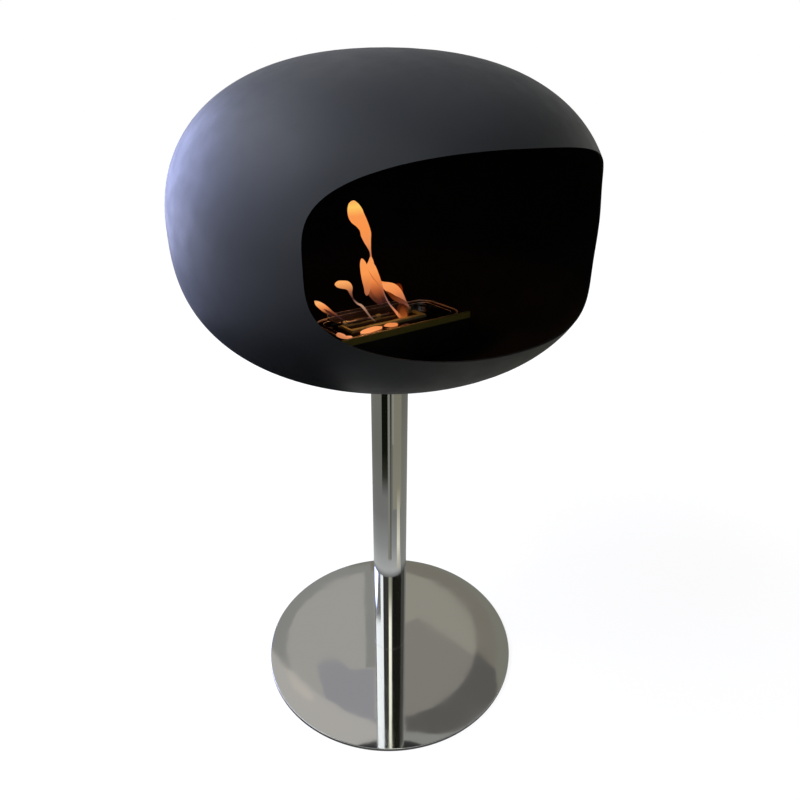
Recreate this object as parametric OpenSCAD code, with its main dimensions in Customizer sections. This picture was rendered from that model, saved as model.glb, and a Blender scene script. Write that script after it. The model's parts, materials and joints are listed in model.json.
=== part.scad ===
// Floor-standing bioethanol fireplace: a pebble-shaped steel fire pod that turns
// on a polished column with a round base. The pod's opening faces -Y, the floor
// is Z = 0 and the column's axis is the Z axis. All sizes are millimetres.

/* [Base] */
// Diameter of the round base plate
base_d = 470; // [400:5:560]
// Thickness of the base plate
base_t = 6; // [5:0.5:12]
// Bevel round the upper rim of the base plate
base_bevel = 0.8; // [0.4:0.2:2]
// Thickness of the felt sole under the base plate
felt_t = 1.5; // [1:0.5:4]
// Distance from the rim of the base plate to the edge of the felt sole
felt_inset = 10; // [3:1:40]
// Thread diameter of the screws that hold the column to the base plate
base_screw_d = 8; // [6:1:9]
// Length of those screws above the base plate
base_screw_grip = 18; // [10:1:22]
// Diameter of the circle that those screws stand on
base_screw_ring_d = 30; // [26:1:34]
// Number of those screws
base_screw_count = 4; // [3:1:4]

/* [Column] */
// Outer diameter of the column tube
col_d = 60; // [56:1:80]
// Wall of the column tube
col_wall = 3; // [2:0.5:3.5]
// Length of the plug in the foot of the column
foot_plug_h = 30; // [26:1:60]
// Length of the plug in the head of the column
head_plug_h = 45; // [40:1:80]

/* [Swivel] */
// Diameter of the spigot that the pod turns on
spigot_d = 30; // [26:1:34]
// Wall of the bearing bush
bush_wall = 3; // [2:0.5:4]
// Reach of the bush's collar beyond its sleeve
bush_rim = 4; // [3:0.5:5]
// Thickness of the bush's collar
bush_rim_t = 2; // [1.5:0.5:4]
// Thickness of the thrust washer between column and pod
thrust_t = 2; // [1:0.5:5]
// Thickness of the retaining washer on the spigot
keeper_t = 3; // [2:0.5:6]
// Thread diameter of the retaining bolt
keeper_bolt_d = 10; // [8:1:12]
// Length of the retaining bolt in the spigot
keeper_bolt_l = 40; // [25:1:45]

/* [Fire pod] */
// Height of the pod's widest line above the floor
pod_z = 810; // [700:5:950]
// Widest diameter of the pod
pod_d = 600; // [580:5:680]
// Height of the pod above its widest line
pod_up = 220; // [200:5:260]
// Depth of the pod below its widest line, down to the flat seat
pod_down = 208; // [204:1:230]
// Roundness of the upper half, where 2 is an ellipse and more is squarer
pod_up_n = 2.33; // [2.1:0.01:2.6]
// Roundness of the lower half
pod_down_n = 2.42; // [2.3:0.01:2.6]
// Diameter of the flat seat under the pod
pod_flat_d = 126; // [122:1:140]
// Thickness of the pod's steel sheet
shell_t = 3; // [2.5:0.5:4]

/* [Pod opening] */
// Width of the opening, measured straight across
opening_w = 476; // [420:2:500]
// Height of the opening
opening_h = 222; // [180:2:240]
// Height of the opening's middle above the pod's widest line
opening_rise = 4; // [0:1:20]
// Roundness of the opening towards its sides
opening_side_n = 2.55; // [2:0.05:4]
// Roundness of the opening towards its top and bottom
opening_top_n = 3.2; // [2:0.05:4]

/* [Hub] */
// Diameter of the hub plate on the pod's floor
hub_d = 116; // [113:1:118]
// Thickness of the hub plate
hub_t = 6; // [5:0.5:10]
// Thread diameter of the screws that hold the hub plate
hub_screw_d = 5; // [4:1:5]
// Diameter of the circle that those screws stand on
hub_screw_ring_d = 94; // [90:1:98]
// Number of those screws
hub_screw_count = 6; // [2:2:6]

/* [Burner cradle] */
// Length of the cradle's front panel
cradle_l = 236; // [226:1:250]
// Thickness of the cradle's steel sheet
cradle_t = 2; // [1.5:0.5:3]
// Distance from the cradle's floor down to the lower edge of its walls
panel_drop = 8; // [4:1:9]
// Height of the front panel above the burner's rim
panel_rise = 2; // [0:0.5:6]
// Height of the folded hem along the front panel
hem_h = 10; // [5:1:16]
// Height of the back wall and the end stops above the cradle's floor
back_wall_h = 34; // [16:1:38]
// Width of an end stop
stop_w = 44; // [20:1:60]
// Diameter of a standoff under the cradle
standoff_d = 14; // [12:1:15]
// Distance from the middle to a standoff, along the burner
standoff_x = 38; // [36:1:40]
// Distance from the middle to a standoff, across the burner
standoff_y = 30; // [27:1:31]
// Free height above the retaining bolt
head_room = 2.3; // [1:0.1:6]
// Thread diameter of the cradle's screws
cradle_screw_d = 5; // [4:1:5]

/* [Burner] */
// Length of the burner tray's body
tray_l = 201; // [194:1:210]
// Width of the burner tray's body
tray_w = 79; // [76:1:84]
// Height of the burner tray
tray_h = 47; // [44:1:52]
// Corner radius of the burner tray's body
tray_r = 15; // [12:1:20]
// Thickness of the burner's steel sheet
tray_t = 1.5; // [1:0.5:2]
// Width of the flat rim round the burner tray
rim_w = 9.5; // [6:0.5:12]
// Depth of the burner's deck below the rim
deck_drop = 8; // [7:0.5:9]
// Free space round the fuel tank inside the tray
tank_gap = 2; // [1:0.5:3]
// Diameter of a screw boss in the fuel tank
boss_d = 9; // [8:0.5:10]
// Distance of a screw boss from the walls of the fuel tank
boss_inset = 9; // [8:0.5:10]
// Thread diameter of the screws that hold the deck
deck_screw_d = 4; // [3:0.5:4]
// Length of those screws in their bosses
deck_screw_l = 12; // [6:1:20]
// Depth of the ceramic wool in the tank
wool_h = 25; // [15:1:27]
// Thickness of the perforated plate on the wool
mesh_t = 1; // [0.5:0.5:1.5]
// Diameter of a hole in the perforated plate
mesh_hole_d = 4; // [3:0.5:5]
// Distance from hole to hole in the perforated plate
mesh_pitch = 8; // [7:0.5:10]

/* [Flame slot] */
// Length of the flame slot
slot_l = 130; // [116:1:134]
// Width of the flame slot
slot_w = 24; // [20:1:25]
// Distance of the slot's middle to the left of the burner's middle
slot_left = 12; // [0:1:14]
// Distance of the slot's middle in front of the burner's middle
slot_forward = 1; // [0:0.5:3]
// Width of the bar in front of the slot
front_bar_w = 7; // [6:0.5:9]
// Width of the bars at the ends of the slot
end_bar_w = 4; // [3:0.5:5]
// Width of the bar behind the slot
back_bar_w = 6; // [6:0.5:7]
// Thread diameter of the screws in the slot frame
frame_screw_d = 2.5; // [2:0.5:2.5]
// Distance from the end of the slot to a screw of the slot frame
frame_screw_inset = 22; // [20:1:24]

/* [Snuffer flap] */
// Diameter of the hinge pin
pin_d = 4; // [3:0.5:4.5]
// Outer diameter of a hinge knuckle
knuckle_d = 6.5; // [6:0.5:7]
// Width of a knuckle on the slot frame
frame_knuckle_w = 8; // [6:1:10]
// Distance from the end of the slot to the middle of an outer frame knuckle
knuckle_inset = 6; // [6:0.5:8]
// Width of a knuckle on the flap
flap_knuckle_w = 20; // [10:1:24]
// Thickness of the flap
flap_t = 1.5; // [1:0.5:2]
// Depth of the flap's folded lip
lip_h = 5; // [3:0.5:6]
// Width of the flap's lifting tab
tab_w = 24; // [16:1:40]
// Reach of the lifting tab
tab_l = 10; // [9:1:12]
// Diameter of the hook hole in the lifting tab
tab_hole_d = 5; // [4:0.5:6]

/* [Hidden] */
$fn = 96;

// Clearances on a side: a running fit, a close fit, a screw in its hole, a flap
// above what it covers, a free gap, loose filling in the tank, the tray's play
// in its cradle, the cradle's distance from the shell, the thrust washer's
// distance from the column's edge, and a cut that runs past a face
run_fit = 0.05;
close_fit = 0.05;
hole_fit = 0.2;
rest_gap = 0.25;
free_gap = 0.3;
wool_gap = 1;
tray_play = 1;
shell_clear = 1;
washer_inset = 1;
past = 1;

// Steps of a quarter of the pod's outline, and of the opening's outline
pod_steps = 22;
opening_steps = 72;

// Head sizes that follow from a thread diameter
function csk_d(d) = 1.9 * d;
function csk_h(d) = 0.5 * d;
function hex_d(d) = 1.96 * d;
function hex_h(d) = 0.64 * d;
function pan_d(d) = 1.75 * d;
function pan_h(d) = 0.4 * d;

// Levels from the floor upwards
base_top = felt_t + base_t;
seat_z = pod_z - pod_down;
col_top = seat_z - thrust_t;
floor_z = seat_z + shell_t;
hub_top = floor_z + hub_t;
spigot_top = hub_top + bush_rim_t + free_gap;
bolt_seat = spigot_top + keeper_t;
cradle_z = bolt_seat + hex_h(keeper_bolt_d) + head_room;
cradle_top = cradle_z + cradle_t;
rim_z = cradle_top + tray_h;
deck_top = rim_z - deck_drop;
deck_z = deck_top - tray_t;
tank_z = cradle_top + tray_t;
wool_z = tank_z + tray_t;
mesh_z = wool_z + wool_h;

// Full depth of the lower curve, which the flat seat cuts short
pod_r = pod_d / 2;
pod_curve = pod_down / pow(1 - pow(pod_flat_d / pod_d, pod_down_n), 1 / pod_down_n);

// Swivel
plug_d = col_d - 2 * (col_wall + close_fit);
bush_d = spigot_d + 2 * (run_fit + bush_wall);
keeper_d = bush_d + 2 * bush_rim;

// Burner
tray_in_l = tray_l - 2 * tray_t;
tray_in_w = tray_w - 2 * tray_t;
rim_l = tray_l + 2 * rim_w;
rim_depth = tray_w + 2 * rim_w;
tank_l = tray_in_l - 2 * tank_gap;
tank_w = tray_in_w - 2 * tank_gap;
tank_r = tray_r - tray_t - tank_gap;
boss_x = tank_l / 2 - boss_inset;
boss_y = tank_w / 2 - boss_inset;
cradle_in_y = rim_depth / 2 + tray_play;

// Slot frame and hinge: the frame stands on the deck as high as the tray's rim
frame_l = slot_l + 2 * end_bar_w;
slot_front = -slot_w / 2 - slot_forward;
slot_back = slot_front + slot_w;
frame_front = slot_front - front_bar_w;
hinge_y = slot_back + back_bar_w / 2;
hinge_z = rim_z + rest_gap + flap_t / 2;
back_bar_top = hinge_z - knuckle_d / 2 - free_gap;
frame_knuckle_x = slot_l / 2 - knuckle_inset;
frame_screw_x = slot_l / 2 - frame_screw_inset;
clip_t = 1;

// The flap's free edge hangs just in front of the front bar when it is shut
flap_reach = hinge_y - frame_front + free_gap + flap_t;

// Points on a quarter of the pod's outline, from the widest line to a height
function pod_quarter(r, h, n, end) =
    let (last = asin(pow(end / h, n / 2)))
    [for (i = [0:pod_steps])
        let (t = last * i / pod_steps)
        [r * pow(cos(t), 2 / n), h * pow(sin(t), 2 / n)]];

// Outline of the pod's solid, drawn inwards by a wall
function pod_outline(wall) =
    let (upper = pod_quarter(pod_r - wall, pod_up - wall, pod_up_n, pod_up - wall),
        lower = pod_quarter(pod_r - wall, pod_curve - wall, pod_down_n, pod_down - wall))
    concat([[0, wall - pod_down]],
        [for (i = [pod_steps:-1:1]) [lower[i][0], -lower[i][1]]],
        [for (i = [0:pod_steps - 1]) upper[i]],
        [[0, pod_up - wall]]);

function signed_pow(v, p) = sign(v) * pow(abs(v), p);

module rounded(l, w, r) {
    square([l - 2 * r, w], center = true);
    square([l, w - 2 * r], center = true);
    for (x = [-1, 1], y = [-1, 1])
        translate([x * (l / 2 - r), y * (w / 2 - r)]) circle(r);
}

module block(l, w, h, r) {
    linear_extrude(h) rounded(l, w, r);
}

// Box given by its lowest and highest corners
module box(from, to) {
    translate(from) cube(to - from);
}

module ring(outer, inner, h) {
    difference() {
        cylinder(d = outer, h = h);
        translate([0, 0, -past]) cylinder(d = inner, h = h + 2 * past);
    }
}

// Countersunk screw that stands on its head, and the cut that it sits in
module csk_screw(d, l, fit = 0) {
    cylinder(d1 = csk_d(d) + 2 * fit, d2 = d + 2 * fit, h = csk_h(d));
    cylinder(d = d + 2 * fit, h = l);
}

module csk_cut(d, l, fit) {
    translate([0, 0, -past]) cylinder(d = csk_d(d) + 2 * fit, h = past);
    csk_screw(d, l, fit);
}

// Copies round a circle, and copies at the four corners of a rectangle
module around(count, ring_d) {
    for (i = [0:count - 1])
        rotate(360 * i / count) translate([ring_d / 2, 0, 0]) children();
}

module corners(x, y) {
    for (i = [-1, 1], j = [-1, 1]) translate([i * x, j * y, 0]) children();
}

module pod_solid(wall) {
    rotate_extrude() polygon(pod_outline(wall));
}

// Base and column

module base_felt() {
    color("dimgray")
    cylinder(d = base_d - 2 * felt_inset, h = felt_t);
}

module base_plate() {
    color("silver")
    translate([0, 0, felt_t]) difference() {
        union() {
            cylinder(d = base_d, h = base_t - base_bevel);
            translate([0, 0, base_t - base_bevel])
                cylinder(d1 = base_d, d2 = base_d - 2 * base_bevel, h = base_bevel);
        }
        around(base_screw_count, base_screw_ring_d)
            csk_cut(base_screw_d, base_t + past, hole_fit);
    }
}

module base_screws() {
    color("dimgray")
    translate([0, 0, felt_t]) around(base_screw_count, base_screw_ring_d)
        csk_screw(base_screw_d, base_t + base_screw_grip);
}

module column_foot_plug() {
    color("gray")
    translate([0, 0, base_top]) difference() {
        cylinder(d = plug_d, h = foot_plug_h);
        translate([0, 0, -past]) around(base_screw_count, base_screw_ring_d)
            cylinder(d = base_screw_d + 2 * close_fit, h = base_screw_grip + 2 * past);
    }
}

module column_tube() {
    color("silver")
    translate([0, 0, base_top]) ring(col_d, col_d - 2 * col_wall, col_top - base_top);
}

// Plug flush with the column's top, with the spigot that carries the pod
module column_head_plug() {
    color("gray")
    difference() {
        union() {
            translate([0, 0, col_top - head_plug_h]) cylinder(d = plug_d, h = head_plug_h);
            translate([0, 0, col_top]) cylinder(d = spigot_d, h = spigot_top - col_top);
        }
        translate([0, 0, spigot_top - keeper_bolt_l - past])
            cylinder(d = keeper_bolt_d + 2 * close_fit, h = keeper_bolt_l + 2 * past);
    }
}

module thrust_washer() {
    color("ivory")
    translate([0, 0, col_top]) ring(col_d - 2 * washer_inset, spigot_d + 2 * hole_fit, thrust_t);
}

module retaining_washer() {
    color("darkgray")
    translate([0, 0, spigot_top]) ring(keeper_d, keeper_bolt_d + 2 * hole_fit, keeper_t);
}

module retaining_bolt() {
    length = keeper_t + keeper_bolt_l;
    color("dimgray")
    translate([0, 0, bolt_seat]) {
        cylinder(d = hex_d(keeper_bolt_d), h = hex_h(keeper_bolt_d), $fn = 6);
        translate([0, 0, -length]) cylinder(d = keeper_bolt_d, h = length);
    }
}

// Fire pod

module opening_outline() {
    polygon([for (i = [0:opening_steps - 1])
        let (a = 360 * i / opening_steps)
        [opening_w / 2 * signed_pow(cos(a), 2 / opening_side_n),
            opening_h / 2 * signed_pow(sin(a), 2 / opening_top_n)]]);
}

module pod_shell() {
    color("dimgray")
    translate([0, 0, pod_z]) difference() {
        pod_solid(0);
        pod_solid(shell_t);
        translate([0, 0, opening_rise]) rotate([90, 0, 0])
            linear_extrude(pod_r + past) opening_outline();
        translate([0, 0, -pod_down]) {
            translate([0, 0, -past])
                cylinder(d = bush_d + 2 * close_fit, h = shell_t + 2 * past);
            around(hub_screw_count, hub_screw_ring_d)
                csk_cut(hub_screw_d, shell_t + past, hole_fit);
        }
    }
}

module hub_plate() {
    color("darkgray")
    translate([0, 0, floor_z]) difference() {
        ring(hub_d, bush_d + 2 * close_fit, hub_t);
        translate([0, 0, -past]) {
            around(hub_screw_count, hub_screw_ring_d)
                cylinder(d = hub_screw_d + 2 * close_fit, h = hub_t + 2 * past);
            corners(standoff_x, standoff_y)
                cylinder(d = cradle_screw_d + 2 * close_fit, h = hub_t + 2 * past);
        }
    }
}

module hub_screws() {
    color("black")
    translate([0, 0, seat_z]) around(hub_screw_count, hub_screw_ring_d)
        csk_screw(hub_screw_d, shell_t + hub_t);
}

module pivot_bush() {
    bore = spigot_d + 2 * run_fit;
    color("goldenrod")
    translate([0, 0, seat_z]) {
        ring(bush_d, bore, shell_t + hub_t);
        translate([0, 0, shell_t + hub_t]) ring(keeper_d, bore, bush_rim_t);
    }
}

// Burner cradle, screwed down head up, with its heads flush with its floor

module cradle_screw_cuts() {
    translate([0, 0, cradle_top]) corners(standoff_x, standoff_y) mirror([0, 0, 1])
        csk_cut(cradle_screw_d, cradle_top - hub_top + past, hole_fit);
}

module cradle_standoffs() {
    color("gray")
    difference() {
        translate([0, 0, hub_top]) corners(standoff_x, standoff_y)
            cylinder(d = standoff_d, h = cradle_z - hub_top);
        cradle_screw_cuts();
    }
}

module cradle_screws() {
    color("silver")
    translate([0, 0, cradle_top]) corners(standoff_x, standoff_y) mirror([0, 0, 1])
        csk_screw(cradle_screw_d, cradle_top - floor_z);
}

// Floor, front panel with its hem, low back wall and two end stops, all trimmed
// where they would come near the pod's curved floor
module burner_cradle() {
    wall_y = cradle_in_y + cradle_t;
    low = cradle_z - panel_drop;
    high = rim_z + panel_rise;
    stop_top = cradle_top + back_wall_h;
    stop_x = tray_l / 2 + tray_play;
    color("darkslategray")
    difference() {
        intersection() {
            union() {
                box([-stop_x - cradle_t, -wall_y, cradle_z], [stop_x + cradle_t, wall_y, cradle_top]);
                box([-cradle_l / 2, -wall_y, low], [cradle_l / 2, -cradle_in_y, high]);
                box([-cradle_l / 2, -wall_y - cradle_t, high - hem_h], [cradle_l / 2, -wall_y, high]);
                box([-stop_x, cradle_in_y, low], [stop_x, wall_y, stop_top]);
                for (side = [0, 1]) mirror([side, 0, 0])
                    box([stop_x, -stop_w / 2, cradle_z], [stop_x + cradle_t, stop_w / 2, stop_top]);
            }
            translate([0, 0, pod_z]) pod_solid(shell_t + shell_clear);
        }
        cradle_screw_cuts();
    }
}

// Burner, which lifts out of the cradle

module burner_tray() {
    color("silver")
    translate([0, 0, cradle_top]) difference() {
        union() {
            block(tray_l, tray_w, tray_h, tray_r);
            translate([0, 0, tray_h - tray_t]) block(rim_l, rim_depth, tray_t, tray_r + rim_w);
        }
        translate([0, 0, tray_t]) block(tray_in_l, tray_in_w, tray_h, tray_r - tray_t);
    }
}

// Open box under the deck, with a screw boss near each corner
module fuel_tank() {
    tank_h = deck_z - tank_z;
    color("lightgray")
    translate([0, 0, tank_z]) difference() {
        union() {
            difference() {
                block(tank_l, tank_w, tank_h, tank_r);
                translate([0, 0, tray_t])
                    block(tank_l - 2 * tray_t, tank_w - 2 * tray_t, tank_h, tank_r - tray_t);
            }
            corners(boss_x, boss_y) cylinder(d = boss_d, h = tank_h);
        }
        translate([0, 0, tank_h - deck_screw_l - past]) corners(boss_x, boss_y)
            cylinder(d = deck_screw_d + 2 * close_fit, h = deck_screw_l + 2 * past);
    }
}

// Slab that fills the tank's footprint and leaves room for the bosses
module tank_filling(h) {
    inset = tray_t + wool_gap;
    difference() {
        block(tank_l - 2 * inset, tank_w - 2 * inset, h, tank_r - inset);
        translate([0, 0, -past]) corners(boss_x, boss_y)
            cylinder(d = boss_d + 2 * wool_gap, h = h + 2 * past);
    }
}

module ceramic_wool() {
    color("white")
    translate([0, 0, wool_z]) tank_filling(wool_h);
}

// Plate that holds the wool down, pierced where the flame slot lies over it
module wool_cover_plate() {
    columns = floor(slot_l / mesh_pitch);
    rows = floor(slot_w / mesh_pitch);
    color("gray")
    translate([0, 0, mesh_z]) difference() {
        tank_filling(mesh_t);
        translate([-slot_left, (slot_front + slot_back) / 2, -past])
            for (i = [1:columns], j = [1:rows])
                translate([i - (columns + 1) / 2, j - (rows + 1) / 2] * mesh_pitch)
                cylinder(d = mesh_hole_d, h = mesh_t + 2 * past);
    }
}

// Moves to a screw of the slot frame, at the deck's underside. $rise is the
// height of the bar's top above it
module frame_screw_places() {
    bars = [[slot_front - front_bar_w / 2, rim_z], [hinge_y, back_bar_top]];
    for (bar = bars, x = [-1, 1])
        let ($rise = bar[1] - deck_z)
        translate([x * frame_screw_x - slot_left, bar[0], deck_z]) children();
}

module burner_deck() {
    color("silver")
    difference() {
        translate([0, 0, deck_z])
            block(tray_in_l - 2 * free_gap, tray_in_w - 2 * free_gap, tray_t,
                tray_r - tray_t - free_gap);
        box([-slot_left - slot_l / 2, slot_front, deck_z - past],
            [-slot_left + slot_l / 2, slot_back, deck_top + past]);
        translate([0, 0, deck_z - past]) corners(boss_x, boss_y)
            cylinder(d = deck_screw_d + 2 * hole_fit, h = tray_t + 2 * past);
        frame_screw_places() translate([0, 0, -past])
            cylinder(d = frame_screw_d + 2 * close_fit, h = tray_t + 2 * past);
    }
}

module deck_screws() {
    length = tray_t + deck_screw_l;
    color("dimgray")
    translate([0, 0, deck_top]) corners(boss_x, boss_y) {
        cylinder(d = pan_d(deck_screw_d), h = pan_h(deck_screw_d));
        translate([0, 0, -length]) cylinder(d = deck_screw_d, h = length);
    }
}

// Rod or bore along the hinge, between two places measured from its middle
module along_hinge(from, to, d) {
    translate([from - slot_left, hinge_y, hinge_z]) rotate([0, 90, 0])
        cylinder(d = d, h = to - from);
}

// Bars round the slot, with the fixed knuckles of the hinge on the back bar
module slot_frame() {
    half = frame_l / 2;
    knuckle_w = frame_knuckle_w / 2;
    color("khaki")
    difference() {
        union() {
            translate([-slot_left, 0, 0]) {
                box([-half, frame_front, deck_top], [half, slot_front, rim_z]);
                box([-half, slot_back, deck_top], [half, slot_back + back_bar_w, back_bar_top]);
                for (side = [0, 1]) mirror([side, 0, 0])
                    box([slot_l / 2, frame_front, deck_top], [half, slot_back, rim_z]);
                for (x = [-frame_knuckle_x, 0, frame_knuckle_x])
                    translate([x, hinge_y, 0])
                    box([-knuckle_w, -back_bar_w / 2, deck_top], [knuckle_w, back_bar_w / 2, hinge_z]);
            }
            for (x = [-frame_knuckle_x, 0, frame_knuckle_x])
                along_hinge(x - knuckle_w, x + knuckle_w, knuckle_d);
        }
        along_hinge(-half - past, half + past, pin_d + 2 * close_fit);
        frame_screw_places() translate([0, 0, $rise]) mirror([0, 0, 1])
            csk_cut(frame_screw_d, $rise + past, close_fit);
    }
}

module frame_screws() {
    color("dimgray")
    frame_screw_places() translate([0, 0, $rise]) mirror([0, 0, 1])
        csk_screw(frame_screw_d, $rise);
}

module hinge_pin() {
    end = frame_knuckle_x + frame_knuckle_w / 2 + free_gap + clip_t + free_gap;
    color("silver")
    along_hinge(-end, end, pin_d);
}

// Spring clips that keep the pin between the outer knuckles
module pin_clips() {
    inner = frame_knuckle_x + frame_knuckle_w / 2 + free_gap;
    color("black")
    difference() {
        for (from = [inner, -inner - clip_t]) along_hinge(from, from + clip_t, knuckle_d);
        along_hinge(-slot_l, slot_l, pin_d + 2 * close_fit);
    }
}

// Flap laid open to the back, as in use. Its folded lip stands up here, and
// hangs in front of the front bar when the flap is turned over onto the slot
module snuffer_flap() {
    half = frame_l / 2;
    low = -flap_t / 2;
    notch_y = knuckle_d / 2 + flap_t;
    notch_w = frame_knuckle_w / 2 + free_gap;
    knuckle_w = flap_knuckle_w / 2;
    color("gray")
    difference() {
        union() {
            translate([-slot_left, hinge_y, hinge_z]) {
                difference() {
                    box([-half, 0, low], [half, flap_reach, -low]);
                    box([-notch_w, -past, low - past], [notch_w, notch_y, past - low]);
                    for (side = [0, 1]) mirror([side, 0, 0])
                        box([frame_knuckle_x - notch_w, -past, low - past],
                            [half + past, notch_y, past - low]);
                }
                box([-half, flap_reach - flap_t, low], [half, flap_reach, lip_h - low]);
                box([-tab_w / 2, flap_reach - flap_t, low], [tab_w / 2, flap_reach + tab_l, -low]);
            }
            for (x = [-1, 1])
                along_hinge(x * frame_knuckle_x / 2 - knuckle_w, x * frame_knuckle_x / 2 + knuckle_w,
                    knuckle_d);
        }
        along_hinge(-half - past, half + past, pin_d + 2 * run_fit);
        translate([-slot_left, hinge_y + flap_reach + tab_l / 2, hinge_z + low - past])
            cylinder(d = tab_hole_d, h = flap_t + 2 * past);
    }
}

base_felt();
base_plate();
base_screws();
column_foot_plug();
column_tube();
column_head_plug();
thrust_washer();
retaining_washer();
retaining_bolt();
pod_shell();
hub_plate();
hub_screws();
pivot_bush();
cradle_standoffs();
burner_cradle();
cradle_screws();
burner_tray();
fuel_tank();
ceramic_wool();
wool_cover_plate();
burner_deck();
deck_screws();
slot_frame();
frame_screws();
hinge_pin();
pin_clips();
snuffer_flap();
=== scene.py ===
import json
import math

import bpy
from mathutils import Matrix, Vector

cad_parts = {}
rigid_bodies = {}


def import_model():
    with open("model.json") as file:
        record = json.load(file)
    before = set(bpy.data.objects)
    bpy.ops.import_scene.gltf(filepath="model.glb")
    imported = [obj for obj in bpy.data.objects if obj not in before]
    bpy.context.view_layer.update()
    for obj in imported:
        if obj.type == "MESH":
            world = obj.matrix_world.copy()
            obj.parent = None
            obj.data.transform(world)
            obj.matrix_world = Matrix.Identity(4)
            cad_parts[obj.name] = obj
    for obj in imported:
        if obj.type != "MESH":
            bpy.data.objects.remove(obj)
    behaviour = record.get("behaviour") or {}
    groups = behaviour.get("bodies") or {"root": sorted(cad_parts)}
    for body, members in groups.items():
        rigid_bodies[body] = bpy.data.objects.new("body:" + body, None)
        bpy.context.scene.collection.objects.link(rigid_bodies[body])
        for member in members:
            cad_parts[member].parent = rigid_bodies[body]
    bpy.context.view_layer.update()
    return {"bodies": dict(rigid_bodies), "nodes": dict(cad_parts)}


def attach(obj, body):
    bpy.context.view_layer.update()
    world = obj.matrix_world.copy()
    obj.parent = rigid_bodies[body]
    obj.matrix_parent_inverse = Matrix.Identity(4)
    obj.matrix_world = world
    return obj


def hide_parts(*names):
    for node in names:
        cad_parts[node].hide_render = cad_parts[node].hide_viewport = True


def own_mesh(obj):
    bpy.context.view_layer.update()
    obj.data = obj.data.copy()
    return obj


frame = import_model()

# Camera. It stands to the left of the opening and looks down into the fire,
# as the photograph does. The lens gives the photograph's field of view.
bpy.ops.object.camera_add(
    location=(-0.5204, -0.7235, 0.9568),
    rotation=[math.radians(a) for a in (64.630, -0.289, -36.693)])
camera = bpy.context.object
camera.name = "camera"
camera.data.lens = 27.225
camera.data.sensor_width = 36
bpy.context.scene.camera = camera
bpy.context.scene.view_settings.view_transform = "Standard"

# Studio. A pale floor under a white surround, with large soft lamps: one low
# and cool on the left, one overhead and one weak on the right.
def in_sight(nodes, links):
    """1 where the camera or a mirror looks, 0 for light that falls on a surface."""
    path = nodes.new("ShaderNodeLightPath")
    either = nodes.new("ShaderNodeMath")
    either.operation = "MAXIMUM"
    seen = nodes.new("ShaderNodeMath")
    seen.operation = "MAXIMUM"
    links.new(path.outputs["Is Glossy Ray"], either.inputs[0])
    links.new(path.outputs["Is Transmission Ray"], either.inputs[1])
    links.new(path.outputs["Is Camera Ray"], seen.inputs[0])
    links.new(either.outputs[0], seen.inputs[1])
    return seen.outputs[0]


def from_middle(nodes, links):
    """The distance from the object's own middle."""
    place = nodes.new("ShaderNodeTexCoord")
    apart = nodes.new("ShaderNodeVectorMath")
    apart.operation = "LENGTH"
    links.new(place.outputs["Object"], apart.inputs[0])
    return apart.outputs["Value"]


world = bpy.data.worlds.new("surround")
bpy.context.scene.world = world
world.use_nodes = True
nodes, links = world.node_tree.nodes, world.node_tree.links
soft = nodes["Background"]
soft.inputs["Color"].default_value = (0.95, 0.97, 1.0, 1)
soft.inputs["Strength"].default_value = 0.09
white = nodes.new("ShaderNodeBackground")
white.inputs["Color"].default_value = (1, 1, 1, 1)
white.inputs["Strength"].default_value = 1.0
show = nodes.new("ShaderNodeMixShader")
links.new(in_sight(nodes, links), show.inputs[0])
links.new(soft.outputs[0], show.inputs[1])
links.new(white.outputs[0], show.inputs[2])
links.new(show.outputs[0], nodes["World Output"].inputs["Surface"])

bpy.ops.mesh.primitive_plane_add(size=60)
floor = bpy.context.object
floor.name = "floor"
pale = bpy.data.materials.new("pale_floor")
pale.use_nodes = True
nodes, links = pale.node_tree.nodes, pale.node_tree.links
nodes.remove(nodes["Principled BSDF"])
matt = nodes.new("ShaderNodeBsdfDiffuse")
matt.inputs["Color"].default_value = (0.08, 0.08, 0.08, 1)
lift = nodes.new("ShaderNodeEmission")
lift.inputs["Color"].default_value = (1, 1, 1, 1)
# The floor's glow, seen only by the camera and in reflections, rises from 0.93 near the middle to full
# white far out: a painted lightening of the far floor, which the lamps light less.
rise = nodes.new("ShaderNodeMapRange")
rise.interpolation_type = "SMOOTHSTEP"
near, far = 0.4, 2.0
near_glow, far_glow = 0.93, 1.0
rise.inputs["From Min"].default_value, rise.inputs["From Max"].default_value = near, far
rise.inputs["To Min"].default_value, rise.inputs["To Max"].default_value = near_glow, far_glow
links.new(from_middle(nodes, links), rise.inputs["Value"])
level = nodes.new("ShaderNodeMath")
level.operation = "MULTIPLY"
links.new(rise.outputs["Result"], level.inputs[1])
both = nodes.new("ShaderNodeAddShader")
links.new(in_sight(nodes, links), level.inputs[0])
links.new(level.outputs[0], lift.inputs["Strength"])
links.new(matt.outputs[0], both.inputs[0])
links.new(lift.outputs[0], both.inputs[1])
links.new(both.outputs[0], nodes["Material Output"].inputs["Surface"])
floor.data.materials.append(pale)


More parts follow.
